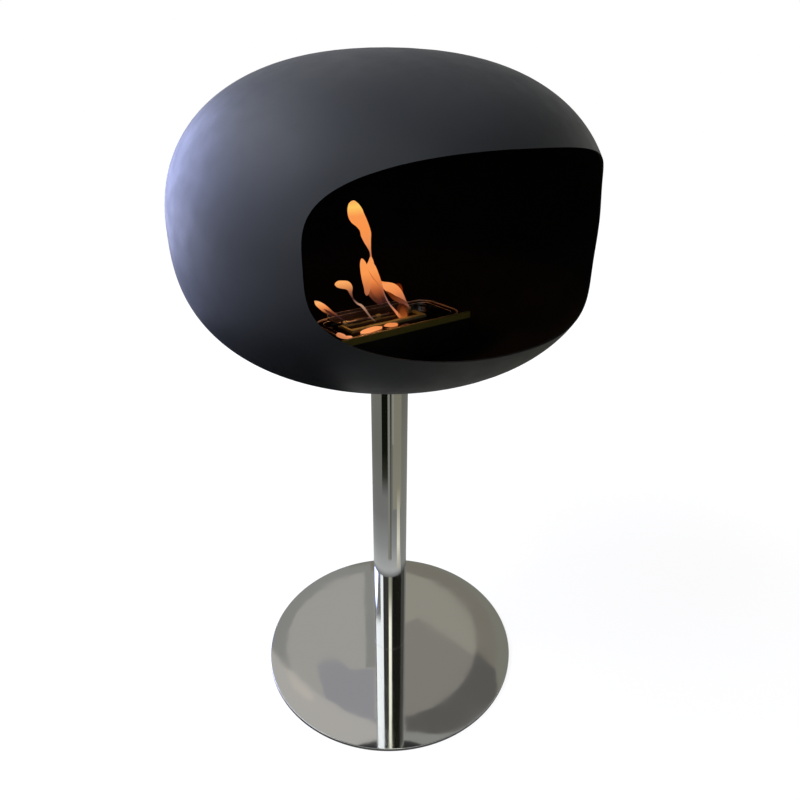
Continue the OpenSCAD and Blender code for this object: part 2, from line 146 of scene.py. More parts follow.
# Cards round the object that only its polished steel and the gloss of its coat
# mirror: a tent of greys with a white strip, a few patches and black flags.
def card(name, corners, tone, height=None):
    """A flat card through its corners, which are on the floor or a ceiling."""
    bpy.ops.object.select_all(action="DESELECT")
    bpy.ops.mesh.primitive_circle_add(vertices=len(corners), radius=1, fill_type="NGON")
    sheet = bpy.context.object
    sheet.name = name
    for vertex, corner in zip(sheet.data.vertices, corners):
        vertex.co = corner if height is None else (*corner, height)
    sheet.visible_camera = sheet.visible_diffuse = sheet.visible_shadow = False
    sheet.visible_transmission = sheet.visible_volume_scatter = False
    material = bpy.data.materials.new(name)
    material.use_nodes = True
    nodes, links = material.node_tree.nodes, material.node_tree.links
    nodes.remove(nodes["Principled BSDF"])
    glow = nodes.new("ShaderNodeEmission")
    glow.inputs["Color"].default_value = (*tone, 1)
    links.new(glow.outputs[0], nodes["Material Output"].inputs["Surface"])
    sheet.data.materials.append(material)
    return nodes, links, glow


def arc(x, y, radius, first, last, steps=32):
    """Points on part of a circle between two directions, in degrees."""
    turns = [math.radians(first + (last - first) * i / steps) for i in range(steps + 1)]
    return [(x + radius * math.cos(t), y + radius * math.sin(t)) for t in turns]


def disc(x, y, radius):
    """Points on a whole circle."""
    return arc(x, y, radius, 0, 354, 59)


def sector(first, last, inner, outer):
    """A piece of a ring between two directions, in degrees."""
    return arc(0, 0, inner, first, last, 12) + arc(0, 0, outer, last, first, 12)


def fading(nodes, links, glow, reach, tones):
    """A card's tone by its distance from the middle, from 0 to reach."""
    share = nodes.new("ShaderNodeMath")
    share.operation = "DIVIDE"
    share.inputs[1].default_value = reach
    ramp = nodes.new("ShaderNodeValToRGB").color_ramp
    links.new(from_middle(nodes, links), share.inputs[0])
    links.new(share.outputs[0], nodes["Color Ramp"].inputs["Fac"])
    while len(ramp.elements) < len(tones):
        ramp.elements.new(0.5)
    for element, (at, colour) in zip(ramp.elements, tones):
        element.position, element.color = at / reach, (*colour, 1)
    links.new(nodes["Color Ramp"].outputs["Color"], glow.inputs["Color"])


# Just round the base plate the low and right cards turn near black: a painted contact shadow, which the
# plate's rim mirrors.
low = card("low_card", disc(0, 0, 4.5), (0.3, 0.3, 0.3), 0.0004)
fading(*low, 2.0, [
    (0.236, (0.04, 0.04, 0.04)), (0.262, (0.60, 0.62, 0.62)), (0.35, (0.38, 0.39, 0.39)),
    (0.47, (0.26, 0.265, 0.26)), (0.8, (0.22, 0.22, 0.20)), (1.2, (0.235, 0.235, 0.21)),
    (2.0, (0.22, 0.22, 0.20))
])
warm = card("warm_card", sector(-105, -46, 0.5, 3.0), (0.3, 0.3, 0.3), 0.0008)
fading(*warm, 2.0, [(0.5, (0.36, 0.35, 0.28)), (0.8, (0.32, 0.31, 0.24)), (1.4, (0.30, 0.29, 0.22))])
right = card("right_card", sector(-46, 45, 0.24, 3.0), (0.3, 0.3, 0.3), 0.0008)
fading(*right, 2.0, [
    (0.24, (0.10, 0.10, 0.10)), (0.27, (0.33, 0.33, 0.31)), (0.42, (0.30, 0.30, 0.28)),
    (0.7, (0.26, 0.26, 0.23)), (1.2, (0.20, 0.20, 0.17))
])
glint = card("glint_card", sector(-78, -55, 0.26, 0.62), (0.8, 0.8, 0.65), 0.0012)
fading(*glint, 1.0, [
    (0.26, (0.62, 0.60, 0.52)), (0.35, (1.05, 1.02, 0.86)), (0.46, (0.72, 0.70, 0.58)),
    (0.60, (0.36, 0.34, 0.26))
])
dark = card("dark_flag", sector(184, 223, 0.56, 3.0), (0.01, 0.01, 0.01), 0.0012)
fading(*dark, 2.0, [
    (0.56, (0.24, 0.24, 0.24)), (0.66, (0.04, 0.045, 0.03)), (0.80, (0.008, 0.011, 0.006)),
    (1.6, (0.003, 0.004, 0.002))
])
card("window_glow", sector(92, 178, 1.55, 4.4), (0.50, 0.56, 0.95), 0.0012)
card("window_wall", [(-0.17, 4.8, 0.9), (-4.8, 0.17, 0.9), (-4.8, 0.17, 3), (-0.17, 4.8, 3)],
     (1.2, 1.32, 2.0))

# A black flag just under the pod. Only a first reflection, of depth 1, shows it,
# so that it doesn't hide the white strip where the base plate mirrors the column.
depth_limit = 1.5
nodes, links, glow = card("under_flag", sector(125, 214, 0.10, 0.44), (0.002, 0.002, 0.002), 0.586)
path = nodes.new("ShaderNodeLightPath")
later = nodes.new("ShaderNodeMath")
later.operation = "GREATER_THAN"
later.inputs[1].default_value = depth_limit
clear = nodes.new("ShaderNodeBsdfTransparent")
choice = nodes.new("ShaderNodeMixShader")
links.new(path.outputs["Ray Depth"], later.inputs[0])
links.new(later.outputs[0], choice.inputs[0])
links.new(glow.outputs[0], choice.inputs[1])
links.new(clear.outputs[0], choice.inputs[2])
links.new(choice.outputs[0], nodes["Material Output"].inputs["Surface"])
card("left_glint", sector(223, 236, 0.3, 3.0), (0.32, 0.32, 0.28), 0.0014)
card("bright_line", sector(-109, -99, 0.85, 3.0), (0.38, 0.38, 0.34), 0.0014)
thin = card("thin_flag", sector(-124, -114, 0.3, 3.0), (0.2, 0.2, 0.2), 0.0016)
fading(*thin, 2.0, [(0.3, (0.24, 0.24, 0.22)), (0.45, (0.15, 0.15, 0.13)), (1.2, (0.05, 0.05, 0.04))])

# Cards overhead. Where two lie over one another, they are a millimetre or more
# apart, and the lower one covers the upper one.
round_x, round_y, round_r = 1.60, 2.34, 0.783
card("ceiling_card", disc(1.0, 1.4, 6.0), (0.37, 0.37, 0.355), 3.0)
card("right_edge", arc(round_x, round_y, 1.7, -75, 75) + arc(round_x, round_y, 0.90, 75, -75),
     (0.29, 0.29, 0.245), 2.999)
card("near_ceiling", [(-5, 1.2), (-0.2, 0.6), (2.6, -1.4), (5, -5), (-5, -5)], (0.25, 0.25, 0.23), 2.998)
card("white_strip", sector(106, 162, 1.2, 3.05), (2.25, 2.35, 2.45), 2.997)
card("white_end", sector(162, 184, 1.2, 3.9), (2.25, 2.35, 2.45), 2.997)
card("grey_flag", sector(184, 223, 1.2, 4.6), (0.09, 0.09, 0.085), 2.997)
yellow = card("yellow_strip", sector(-135, -114, 1.2, 4.6), (2.5, 2.5, 2.1), 2.997)
fading(*yellow, 6.0, [(4.25, (2.5, 2.5, 2.1)), (4.42, (1.3, 1.3, 1.05)), (4.55, (0.7, 0.7, 0.55))])
card("black_flag", sector(-107, -38, 1.2, 4.6), (0.022, 0.022, 0.016), 2.997)
card("right_flag", sector(-38, 2, 1.9, 4.6), (0.13, 0.125, 0.115), 2.997)
card("right_ring", arc(round_x, round_y, 0.95, -58, 62) + arc(round_x, round_y, 0.70, 62, -58),
     (0.28, 0.26, 0.22), 2.996)
card("dark_crescent", arc(round_x, round_y, 0.70, -112, -42)
     + [(2.12, 1.53), (2.02, 1.41), (1.92, 1.33), (1.81, 1.30), (1.53, 1.31), (1.40, 1.38), (1.23, 1.53)],
     (0.155, 0.15, 0.14), 2.995)
card("round_patch", disc(round_x, round_y, round_r), (0.53, 0.52, 0.49), 2.993)
card("right_half", arc(round_x, round_y, round_r, -126, 54), (0.43, 0.41, 0.355), 2.991)
card("right_low", arc(round_x, round_y, round_r, -126, -53) + [(1.96, 2.31), (round_x, round_y)],
     (0.335, 0.315, 0.285), 2.989)
card("left_patch", [(0.2, 3.4), (0.76, 3.3), (0.785, 2.72), (0.80, 2.57), (0.84, 2.36), (0.89, 2.14),
                    (0.98, 1.91), (1.09, 1.70), (1.25, 1.30), (0.2, 1.0)],
     (0.64, 0.62, 0.59), 2.987)
card("violet_patch", [(1.01, 2.38), (1.08, 2.40), (1.15, 2.36), (1.18, 2.28), (1.20, 2.20),
                      (1.36, 2.09), (1.09, 1.70), (0.98, 1.91), (0.91, 2.10), (0.96, 2.25)],
     (0.42, 0.42, 0.45), 2.986)
card("band", [(1.90, 3.06), (1.98, 3.00), (1.38, 2.09), (1.31, 2.14)], (0.36, 0.365, 0.35), 2.985)
card("beige_patch", [(0.80, 2.57), (0.82, 2.42), (0.845, 2.25), (0.855, 2.17), (0.83, 2.12),
                     (0.79, 2.17), (0.76, 2.32)],
     (0.74, 0.70, 0.64), 2.984)
card("far_card", [(-1.3, 6.6, 0), (6.7, 0.6, 0), (6.7, 0.6, 3.2), (-1.3, 6.6, 3.2)], (0.52, 0.52, 0.50))

aim = Vector((0, 0, 0.7))
for name, place, size, power, colour, mirrored in (
        ("lamp_left", (-1.1, 2.5, 1.3), 2.1, 86, (0.50, 0.56, 1.0), True),
        ("lamp_high", (-2.1, 0.8, 2.9), 1.8, 260, (0.72, 0.77, 1.0), False),
        ("lamp_right", (1.8, -1.2, 0.4), 1.2, 14, (1.0, 0.95, 0.78), False)):
    bpy.ops.object.light_add(type="AREA", location=place)
    lamp = bpy.context.object
    lamp.name = name
    lamp.data.size = size
    lamp.data.energy = power
    lamp.data.color = colour
    lamp.visible_glossy = mirrored
    lamp.rotation_euler = (aim - Vector(place)).to_track_quat("-Z", "Y").to_euler()


# Felt sole under the base plate: dark needle felt, glued on. Only its edge
# shows, a thin line between the steel and the floor.
def finish(name, colour, roughness, metallic=0.0):
    """A new material with its nodes, its links and its shader."""
    material = bpy.data.materials.new(name)
    material.use_nodes = True
    shader = material.node_tree.nodes["Principled BSDF"]
    shader.inputs["Base Color"].default_value = (*colour, 1)
    shader.inputs["Roughness"].default_value = roughness
    shader.inputs["Metallic"].default_value = metallic
    return material, material.node_tree.nodes, material.node_tree.links, shader


def grain(nodes, links, scale, detail=3.0, stretch=(1, 1, 1)):
    """Noise in the object's own space, finer as scale grows."""
    place = nodes.new("ShaderNodeTexCoord")
    mapping = nodes.new("ShaderNodeMapping")
    mapping.inputs["Scale"].default_value = stretch
    noise = nodes.new("ShaderNodeTexNoise")
    noise.inputs["Scale"].default_value = scale
    noise.inputs["Detail"].default_value = detail
    links.new(place.outputs["Object"], mapping.inputs["Vector"])
    links.new(mapping.outputs["Vector"], noise.inputs["Vector"])
    return noise.outputs["Fac"]


def between(nodes, links, factor, low, high, edges=(0.3, 0.7)):
    """A number from low to high as the factor crosses edges."""
    ramp = nodes.new("ShaderNodeMapRange")
    ramp.inputs["From Min"].default_value, ramp.inputs["From Max"].default_value = edges
    ramp.inputs["To Min"].default_value, ramp.inputs["To Max"].default_value = low, high
    links.new(factor, ramp.inputs["Value"])
    return ramp.outputs["Result"]


def tinted(nodes, links, factor, low, high, edges=(0.3, 0.7)):
    """A colour from low to high as the factor crosses edges."""
    ramp = nodes.new("ShaderNodeValToRGB")
    ramp.color_ramp.elements[0].position, ramp.color_ramp.elements[1].position = edges
    ramp.color_ramp.elements[0].color = (*low, 1)
    ramp.color_ramp.elements[1].color = (*high, 1)
    links.new(factor, ramp.inputs["Fac"])
    return ramp.outputs["Color"]


def coloured(nodes, links, shader, factor, low, high):
    """Lets a surface's colour follow a factor."""
    links.new(tinted(nodes, links, factor, low, high), shader.inputs["Base Color"])


def roughened(nodes, links, shader, factor, low, high):
    """Lets a surface's roughness follow a factor."""
    links.new(between(nodes, links, factor, low, high), shader.inputs["Roughness"])


def relief(nodes, links, shader, height, strength, distance):
    """Raises and lowers a surface a little where height says so."""
    bump = nodes.new("ShaderNodeBump")
    bump.inputs["Strength"].default_value = strength
    bump.inputs["Distance"].default_value = distance
    links.new(height, bump.inputs["Height"])
    links.new(bump.outputs["Normal"], shader.inputs["Normal"])


def dress(node, material):
    """Gives a CAD node its material."""
    piece = frame["nodes"][node]
    piece.data.materials.clear()
    piece.data.materials.append(material)


felt, nodes, links, shader = finish("needle_felt", (0.03, 0.03, 0.032), 0.95)
fibres = grain(nodes, links, 900, 6)
coloured(nodes, links, shader, fibres, (0.012, 0.012, 0.013), (0.055, 0.055, 0.058))
relief(nodes, links, shader, fibres, 0.8, 0.0006)
dress("base_felt", felt)


# Base plate: a round plate of stainless steel, mirror-polished, with a small
# bevel round its upper rim. Faint wipe marks change its gloss a little.
def settle(piece, angle=30):
    """Puts a piece's place into its mesh and smooths its curves."""
    bpy.ops.object.select_all(action="DESELECT")
    piece.select_set(True)
    bpy.context.view_layer.objects.active = piece
    bpy.ops.object.transform_apply(location=True, rotation=True, scale=True)
    bpy.ops.object.shade_smooth_by_angle(angle=math.radians(angle))
    return piece


def modified(piece, kind, **settings):
    """Applies one modifier to a piece."""
    bpy.ops.object.select_all(action="DESELECT")
    piece.select_set(True)
    bpy.context.view_layer.objects.active = piece
    modifier = piece.modifiers.new(kind.lower(), kind)
    for key, value in settings.items():
        setattr(modifier, key, value)
    bpy.ops.object.modifier_apply(modifier=modifier.name)
    return piece


def eased(piece, width, segments=3, angle=30, material=-1):
    """Rounds a piece's edges a little and keeps its flats flat."""
    settle(piece, angle)
    return modified(piece, "BEVEL", width=width, segments=segments, limit_method="ANGLE",
                    angle_limit=math.radians(angle), harden_normals=True, material=material)


mirror_steel, nodes, links, shader = finish("mirror_steel", (0.60, 0.60, 0.59), 0.04, 1.0)
wiped = grain(nodes, links, 9, 4)
roughened(nodes, links, shader, wiped, 0.025, 0.07)
relief(nodes, links, shader, grain(nodes, links, 22, 1), 0.12, 0.0005)

felt_t, base_t, base_r = 0.0015, 0.006, 0.235
bpy.ops.mesh.primitive_cylinder_add(vertices=256, radius=base_r, depth=base_t,
                                    location=(0, 0, felt_t + base_t / 2))
base = bpy.context.object
base.name = "polished_base"
eased(base, 0.0008)
base.data.materials.append(mirror_steel)
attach(base, "pedestal")
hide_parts("base_plate")

# Column: a stock tube of stainless steel, polished lengthwise, pushed over a
# plug on the base and screwed from below. Its ends are turned square.
polished_tube, nodes, links, shader = finish("polished_tube", (0.60, 0.60, 0.59), 0.05, 1.0)
drawn = grain(nodes, links, 60, 2, (1, 1, 0.02))
roughened(nodes, links, shader, drawn, 0.03, 0.08)
relief(nodes, links, shader, drawn, 0.10, 0.0004)

column_foot, column_top, column_r, column_wall = 0.0075, 0.600, 0.030, 0.003
bpy.ops.mesh.primitive_cylinder_add(vertices=192, radius=column_r, depth=column_top - column_foot,
                                    location=(0, 0, (column_foot + column_top) / 2),
                                    end_fill_type="NOTHING")
column = bpy.context.object
column.name = "polished_column"
modified(column, "SOLIDIFY", thickness=column_wall, offset=-1, use_even_offset=True)
eased(column, 0.0004)
column.data.materials.append(polished_tube)
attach(column, "pedestal")
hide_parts("column_tube")

# Small parts that hardly show: the column's turned plugs, zinc-plated screws,
# washer and standoffs, the swivel's bronze bush on its black slide washer, and
# the black clips of the hinge pin.
turned_steel, nodes, links, shader = finish("turned_steel", (0.55, 0.55, 0.54), 0.3, 1.0)
roughened(nodes, links, shader, grain(nodes, links, 400, 2, (0.2, 0.2, 4)), 0.22, 0.4)
zinc, nodes, links, shader = finish("zinc_plate", (0.52, 0.53, 0.55), 0.32, 1.0)
roughened(nodes, links, shader, grain(nodes, links, 300, 3), 0.24, 0.42)
bronze, nodes, links, shader = finish("bearing_bronze", (0.58, 0.40, 0.18), 0.35, 1.0)
roughened(nodes, links, shader, grain(nodes, links, 250, 3), 0.28, 0.45)
slide, nodes, links, shader = finish("black_slide", (0.02, 0.02, 0.02), 0.4)
relief(nodes, links, shader, grain(nodes, links, 500, 2), 0.2, 0.0001)
black_oxide, nodes, links, shader = finish("black_oxide", (0.02, 0.02, 0.021), 0.42)
roughened(nodes, links, shader, grain(nodes, links, 500, 3), 0.34, 0.52)
for node in ("column_foot_plug", "column_head_plug"):
    dress(node, turned_steel)
for node in ("base_screws", "retaining_washer", "retaining_bolt", "cradle_standoffs"):
    dress(node, zinc)
dress("pivot_bush", bronze)
dress("thrust_washer", slide)
dress("pin_clips", black_oxide)

# Fire pod: one shell of 3 mm steel, pressed and welded, with a wide mouth cut
# straight through its side. Outside it has a matt charcoal powder coat; inside,
# its faces are a flat near-black, much darker than the coat.
pod_middle = Vector((0, 0, 0.810))
pod_r, pod_up, pod_down, pod_floor = 0.2999, 0.2199, 0.2099, 0.2079
up_n, down_n = 2.33, 2.42
mouth_w, mouth_h, mouth_rise = 0.476, 0.222, 0.004
mouth_side_n, mouth_top_n = 2.55, 3.2
shell_t = 0.003
round_mouth, over_back = 240, 96
rows = 2 * over_back + 1


def on_pod(way, wall):
    """The point of the pod's wall in one direction from its middle."""
    height, n = (pod_up, up_n) if way.z > 0 else (pod_down, down_n)
    level = (math.hypot(way.x, way.y) / (pod_r - wall)) ** n + (abs(way.z) / (height - wall)) ** n
    point = way * level ** (-1 / n)
    point.z = max(point.z, wall - pod_floor)
    return pod_middle + point


def mouth_way(turn, wall):
    """The direction of one point on the mouth's edge, which is cut straight."""
    across, along = math.cos(turn), math.sin(turn)
    x = mouth_w / 2 * math.copysign(abs(across) ** (2 / mouth_side_n), across)
    z = mouth_rise + mouth_h / 2 * math.copysign(abs(along) ** (2 / mouth_top_n), along)
    height, n = (pod_up, up_n) if z > 0 else (pod_down, down_n)
    ring = (pod_r - wall) * (1 - (abs(z) / (height - wall)) ** n) ** (1 / n)
    return Vector((x, -math.sqrt(ring ** 2 - x ** 2), z)).normalized()


def closed(piece):
    """Joins the seam and the poles of a mesh and turns its faces outwards."""
    bpy.ops.object.select_all(action="DESELECT")
    piece.select_set(True)
    bpy.context.view_layer.objects.active = piece
    bpy.ops.object.mode_set(mode="EDIT")
    bpy.ops.mesh.select_all(action="SELECT")
    bpy.ops.mesh.remove_doubles(threshold=0.000005)
    bpy.ops.mesh.normals_make_consistent(inside=False)
    bpy.ops.object.mode_set(mode="OBJECT")
    return piece


def bored(piece, cutters):
    """Cuts the joined cutters out of a piece."""
    bpy.ops.object.select_all(action="DESELECT")
    for cutter in cutters:
        cutter.select_set(True)
    bpy.context.view_layer.objects.active = cutters[0]
    if len(cutters) > 1:
        bpy.ops.object.join()
    cutter = bpy.context.object
    modified(piece, "BOOLEAN", object=cutter, operation="DIFFERENCE", solver="EXACT")
    bpy.data.objects.remove(cutter)
    return piece


bpy.ops.mesh.primitive_grid_add(x_subdivisions=round_mouth, y_subdivisions=rows, size=1)
shell = bpy.context.object
shell.name = "fire_pod"
back = Vector((0, 1, 0))
for index, vertex in enumerate(shell.data.vertices):
    row, step = divmod(index, round_mouth + 1)
    turn = 2 * math.pi * (step % round_mouth + 0.5) / round_mouth
    outside = row <= over_back
    wall = 0 if outside else shell_t
    share = (row if outside else rows - row) / over_back
    edge = mouth_way(turn, wall)
    swing = edge.angle(back) * share
    side = (edge - back * edge.dot(back)).normalized()
    vertex.co = on_pod(back * math.cos(swing) + side * math.sin(swing), wall)
closed(shell)

hub_r, hub_count = 0.047, 6
hub_turns = [2 * math.pi * i / hub_count for i in range(hub_count)]
hub_places = [(hub_r * math.cos(turn), hub_r * math.sin(turn)) for turn in hub_turns]
bush_hole_r, bush_hole_deep, bush_hole_z = 0.0181, 0.012, 0.603
sink_r, sink_deep, sink_z = 0.00595, 0.0035, 0.60275
screw_hole_r, screw_hole_deep, screw_hole_z = 0.00270, 0.004, 0.6060
bpy.ops.mesh.primitive_cylinder_add(vertices=96, radius=bush_hole_r, depth=bush_hole_deep,
                                    location=(0, 0, bush_hole_z))
cutters = [bpy.context.object]
for place in hub_places:
    bpy.ops.mesh.primitive_cone_add(vertices=48, radius1=sink_r, radius2=screw_hole_r, depth=sink_deep,
                                    location=(*place, sink_z))
    cutters.append(bpy.context.object)
    bpy.ops.mesh.primitive_cylinder_add(vertices=48, radius=screw_hole_r, depth=screw_hole_deep,
                                        location=(*place, screw_hole_z))
    cutters.append(bpy.context.object)
bored(shell, cutters)
eased(shell, 0.0007, 3, 45)

pod_coat, nodes, links, shader = finish("charcoal_coat", (0.03, 0.031, 0.031), 0.42)
cloud = grain(nodes, links, 6, 3)
coloured(nodes, links, shader, cloud, (0.017, 0.018, 0.018), (0.022, 0.023, 0.023))
roughened(nodes, links, shader, grain(nodes, links, 40, 4), 0.47, 0.55)
relief(nodes, links, shader, grain(nodes, links, 900, 2), 0.18, 0.0002)
shader.inputs["Specular IOR Level"].default_value = 0.30
inner_black_coat, nodes, links, shader = finish("inner_black", (0.006, 0.006, 0.006), 0.85)
inner_mottle = grain(nodes, links, 14, 6)
coloured(nodes, links, shader, inner_mottle, (0.003, 0.003, 0.003), (0.010, 0.0095, 0.009))
roughened(nodes, links, shader, inner_mottle, 0.75, 0.95)
relief(nodes, links, shader, grain(nodes, links, 300, 5), 0.3, 0.0005)
shader.inputs["Specular IOR Level"].default_value = 0.15
shell.data.materials.clear()
shell.data.materials.append(pod_coat)
shell.data.materials.append(inner_black_coat)
for face in shell.data.polygons:
    face.material_index = int(face.normal.dot(face.center - pod_middle) < 0)
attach(shell, "pod")
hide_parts("pod_shell")

# Hub plate inside the pod: a turned steel disc screwed up from below, painted
# the pod's dark coat.
dark_coat, nodes, links, shader = finish("dark_coat", (0.018, 0.018, 0.018), 0.5)
roughened(nodes, links, shader, grain(nodes, links, 60, 4), 0.42, 0.6)
relief(nodes, links, shader, grain(nodes, links, 700, 2), 0.15, 0.0002)
dress("hub_plate", dark_coat)


# Hub screws: countersunk steel screws with a hexagon socket, black oxide, driven
# up through the pod's floor into the hub plate.
def remade(node, name, edge, materials, segments=2, angle=30):
    """A copy of a CAD node, its edges eased and dressed in the last material."""
    piece = bpy.data.objects.new(name, frame["nodes"][node].data.copy())
    bpy.context.scene.collection.objects.link(piece)
    piece.data.materials.clear()
    for material in materials:
        piece.data.materials.append(material)
    closed(piece)
    bpy.ops.object.mode_set(mode="EDIT")
    bpy.ops.mesh.select_all(action="SELECT")
    bpy.ops.mesh.dissolve_limited(angle_limit=math.radians(1))
    bpy.ops.object.mode_set(mode="OBJECT")
    if piece.data.has_custom_normals:
        bpy.ops.mesh.customdata_custom_splitnormals_clear()
    return eased(piece, edge, segments, angle, len(materials) - 1)


def socketed(piece, heads, across, depth):
    """Sinks a hexagon socket into each screw head, given by its place."""
    cutters = []
    for place in heads:
        bpy.ops.mesh.primitive_cylinder_add(vertices=6, radius=across / math.sqrt(3), depth=2 * depth,
                                            location=place)
        cutters.append(bpy.context.object)
    bored(piece, cutters)
    return settle(piece)


def crossed(piece, heads, across, depth):
    """Sinks a cross recess into each screw head, given by its place."""
    for wide, deep in ((across, across / 4), (across / 4, across)):
        cutters = []
        for place in heads:
            bpy.ops.mesh.primitive_cube_add(size=1, location=place, scale=(wide, deep, 2 * depth))
            cutters.append(bpy.context.object)
        bored(piece, cutters)
    return settle(piece)


socket_w, socket_deep = 0.003, 0.0022
hub_heads = [(*place, 0.602) for place in hub_places]
hub_fixings = socketed(remade("hub_screws", "hub_socket_screws", 0.0002, [black_oxide]),
                       hub_heads, socket_w, socket_deep)
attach(hub_fixings, "pod")
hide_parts("hub_screws")

# Burner cradle: a folded steel bracket on four standoffs, each with a socket
# screw. Its front panel has a folded hem, with a painted highlight, a bright
# olive-yellow band, along its top.
cradle_coat_and_highlight, nodes, links, shader = finish("cradle_coat_and_highlight", (0.020, 0.020, 0.016), 0.34)
place = nodes.new("ShaderNodeTexCoord")
upright = nodes.new("ShaderNodeSeparateXYZ")
links.new(place.outputs["Object"], upright.inputs["Vector"])
hem_low, hem_high = 0.665, 0.677
hem_highlight = nodes.new("ShaderNodeValToRGB").color_ramp
hem_highlight.elements.new(0.5)
hem_highlight.elements.new(0.6)
# Tones by height: black below, a bright olive-yellow painted highlight along the hem, and dark olive
# above.
hem_highlight_tones = ((0.05, (0.012, 0.010, 0.008)), (0.14, (0.52, 0.43, 0.10)),
             (0.85, (0.52, 0.43, 0.10)), (0.90, (0.09, 0.10, 0.035)))
for element, (at, colour) in zip(hem_highlight.elements, hem_highlight_tones):
    element.position, element.color = at, (*colour, 1)
hem_highlight_share = between(nodes, links, upright.outputs["Z"], 0, 1, (hem_low, hem_high))
links.new(hem_highlight_share, nodes["Color Ramp"].inputs["Fac"])
links.new(nodes["Color Ramp"].outputs["Color"], shader.inputs["Base Color"])
roughened(nodes, links, shader, grain(nodes, links, 50, 4), 0.30, 0.42)
relief(nodes, links, shader, grain(nodes, links, 700, 2), 0.15, 0.0002)
cradle = remade("burner_cradle", "burner_bracket", 0.0004, [cradle_coat_and_highlight])
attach(cradle, "pod")
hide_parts("burner_cradle")
cradle_heads = [(x, y, 0.627) for x in (-0.038, 0.038) for y in (-0.03, 0.03)]
cradle_fixings = socketed(remade("cradle_screws", "cradle_socket_screws", 0.0002, [zinc]),
                          cradle_heads, socket_w, socket_deep)
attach(cradle_fixings, "pod")
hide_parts("cradle_screws")


# Burner tray and fuel tank: a deep-drawn stainless tray with a flat rim, and an
# open box in it for the fuel. The steel is brushed and has dulled in the heat.
def brushed(name, colour, dark, rough, metallic=1.0):
    """Brushed steel: fine strokes along X and darker clouds."""
    material, nodes, links, shader = finish(name, colour, rough, metallic)
    strokes = grain(nodes, links, 120, 4, (0.15, 6, 6))
    roughened(nodes, links, shader, strokes, rough * 0.8, rough * 1.3)
    coloured(nodes, links, shader, grain(nodes, links, 18, 4), dark, colour)
    relief(nodes, links, shader, strokes, 0.15, 0.0002)
    return material


tray_steel = brushed("tray_steel", (0.20, 0.18, 0.16), (0.10, 0.09, 0.08), 0.16)
# Pale rose edge steel for the bead and the eased edges of the tray, slot frame and flap: a painted
# highlight of the fire's glow on their rims.
edge_highlight = brushed("edge_highlight", (0.62, 0.50, 0.44), (0.46, 0.36, 0.31), 0.4, 0.4)
tray = remade("burner_tray", "burner_tray_drawn", 0.0006, [tray_steel, edge_highlight])
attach(tray, "burner")
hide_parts("burner_tray")
dress("fuel_tank", tray_steel)


# Rolled bead round the tray's rim: the sheet's edge turned up into a thin roll,
# pale rose, which is a painted highlight of the fire's glow.
def beaded(name, half_x, half_y, corner, z, radius, material, around=10, turn_steps=12):
    """A thin roll along a rectangle with rounded corners."""
    path = []
    for quarter, (sx, sy) in enumerate(((1, 1), (-1, 1), (-1, -1), (1, -1))):
        for i in range(turn_steps + 1):
            turn = math.radians(90 * (quarter + i / turn_steps))
            path.append((sx * (half_x - corner), sy * (half_y - corner), turn))
    bpy.ops.object.select_all(action="DESELECT")
    bpy.ops.mesh.primitive_grid_add(x_subdivisions=around, y_subdivisions=len(path), size=1)
    piece = bpy.context.object
    piece.name = name
    for index, vertex in enumerate(piece.data.vertices):
        row, step = divmod(index, around + 1)
        x, y, turn = path[row % len(path)]
        roll = 2 * math.pi * (step % around) / around
        reach = corner + radius * math.cos(roll)
        vertex.co = (x + reach * math.cos(turn), y + reach * math.sin(turn),
                     z + radius * math.sin(roll))
    closed(piece)
    settle(piece, 60)
    piece.data.materials.append(material)
    return piece


bead_half_x, bead_half_y, bead_corner, bead_z, bead_r = 0.1092, 0.0482, 0.0237, 0.6745, 0.0009
bead = beaded("tray_rim_bead", bead_half_x, bead_half_y, bead_corner, bead_z, bead_r, edge_highlight)
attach(bead, "burner")

# Burner deck: a brushed sheet with the flame slot, which closes the fuel tank.
# Under it a pierced plate keeps the wool down.
deck_steel = brushed("deck_steel", (0.14, 0.13, 0.12), (0.07, 0.065, 0.06), 0.10)
deck = remade("burner_deck", "burner_deck_plate", 0.0003, [deck_steel])
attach(deck, "burner")
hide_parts("burner_deck")

plate_steel = brushed("pierced_steel", (0.30, 0.27, 0.24), (0.14, 0.12, 0.11), 0.3)
dress("wool_cover_plate", plate_steel)

# Ceramic wool: a pad of white fibre in the tank, under the pierced plate. It
# soaks up the fuel.
wool, nodes, links, shader = finish("ceramic_fibre", (0.78, 0.77, 0.74), 0.95)
strands = grain(nodes, links, 260, 6, (1, 1, 3))
coloured(nodes, links, shader, strands, (0.62, 0.61, 0.58), (0.84, 0.83, 0.80))
relief(nodes, links, shader, strands, 0.7, 0.001)
dress("ceramic_wool", wool)

# Deck screws: pan heads with a cross recess, driven through the deck into the
# tank's bosses and dulled by the heat.
dull_steel = brushed("dull_steel", (0.24, 0.19, 0.17), (0.12, 0.10, 0.09), 0.45)
deck_heads = [(x, y, 0.6676) for x in (-0.088, 0.088) for y in (-0.027, 0.027)]
deck_cross_w, deck_cross_deep = 0.0036, 0.0011
pan_heads = crossed(remade("deck_screws", "deck_pan_screws", 0.0004, [dull_steel], 3),
                    deck_heads, deck_cross_w, deck_cross_deep)
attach(pan_heads, "burner")
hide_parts("deck_screws")

# Slot frame: four thin bars of stainless steel round the flame slot, tinted
# straw by the heat, with the hinge's fixed knuckles on the back bar. Screws with
# a cross recess hold it down.
slot_steel = brushed("straw_steel", (0.33, 0.33, 0.17), (0.20, 0.20, 0.10), 0.45, 0.3)
nodes, links = slot_steel.node_tree.nodes, slot_steel.node_tree.links
place = nodes.new("ShaderNodeTexCoord")
upright = nodes.new("ShaderNodeSeparateXYZ")
